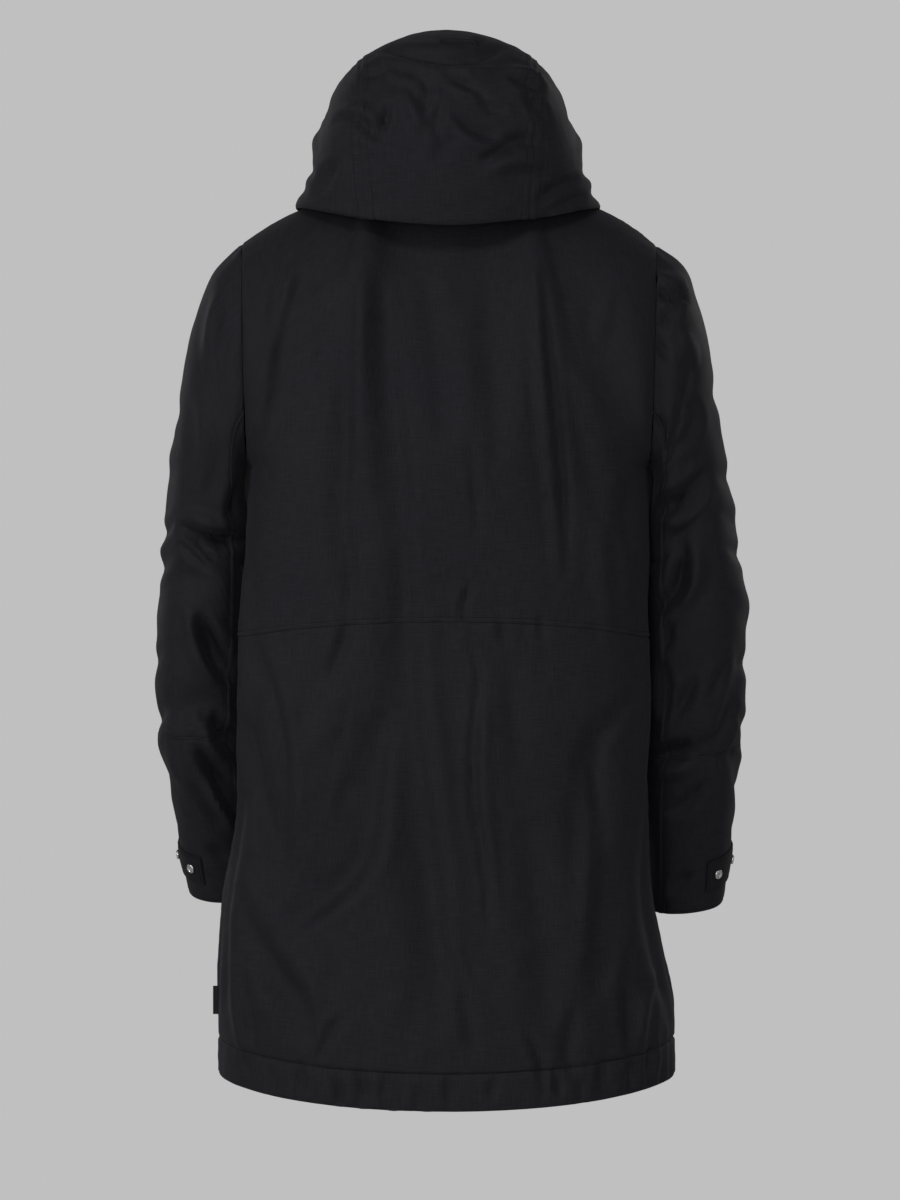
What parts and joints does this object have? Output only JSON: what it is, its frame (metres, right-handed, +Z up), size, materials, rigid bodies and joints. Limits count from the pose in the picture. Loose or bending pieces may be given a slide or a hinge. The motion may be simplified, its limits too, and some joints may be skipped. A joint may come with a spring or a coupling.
{
  "type": "hooded parka",
  "caption": "Hooded hip-length parka with the hood up, a waist seam, elbow seams and snap tabs at the cuffs, kept in its worn hollow form.",
  "frame": {"origin": "middle of the neck opening, level with the base of the wearer's neck", "axes": "+Z up the wearer's spine, the wearer faces -Y, +X to the wearer's left"},
  "size_m": [0.6068, 0.2871, 1.0934],
  "materials": {
    "shell_cloth": "fine plain weave, soft sheen",
    "trim_cloth": "dull woven",
    "label_cloth": "dull woven tape, bare",
    "snap_metal": "polished nickel"
  },
  "bodies": {
    "root": {"back_lower": "shell_cloth", "back_upper": "shell_cloth", "front_left": "shell_cloth", "front_right": "shell_cloth", "sleeve_left_upper_top": "shell_cloth", "sleeve_left_upper_under": "shell_cloth", "sleeve_left_lower_top": "shell_cloth", "sleeve_left_lower_under": "shell_cloth", "sleeve_right_upper_top": "shell_cloth", "sleeve_right_upper_under": "shell_cloth", "sleeve_right_lower_top": "shell_cloth", "sleeve_right_lower_under": "shell_cloth", "collar": "shell_cloth", "hood_left": "shell_cloth", "hood_centre": "shell_cloth", "hood_right": "shell_cloth", "front_flap": "shell_cloth", "cuff_tab_left": "trim_cloth", "cuff_tab_right": "trim_cloth", "hood_slot_patch": "trim_cloth", "side_label": "label_cloth", "snap_left_1": "snap_metal", "snap_left_2": "snap_metal", "snap_right_1": "snap_metal", "snap_right_2": "snap_metal"}
  },
  "joints": []
}
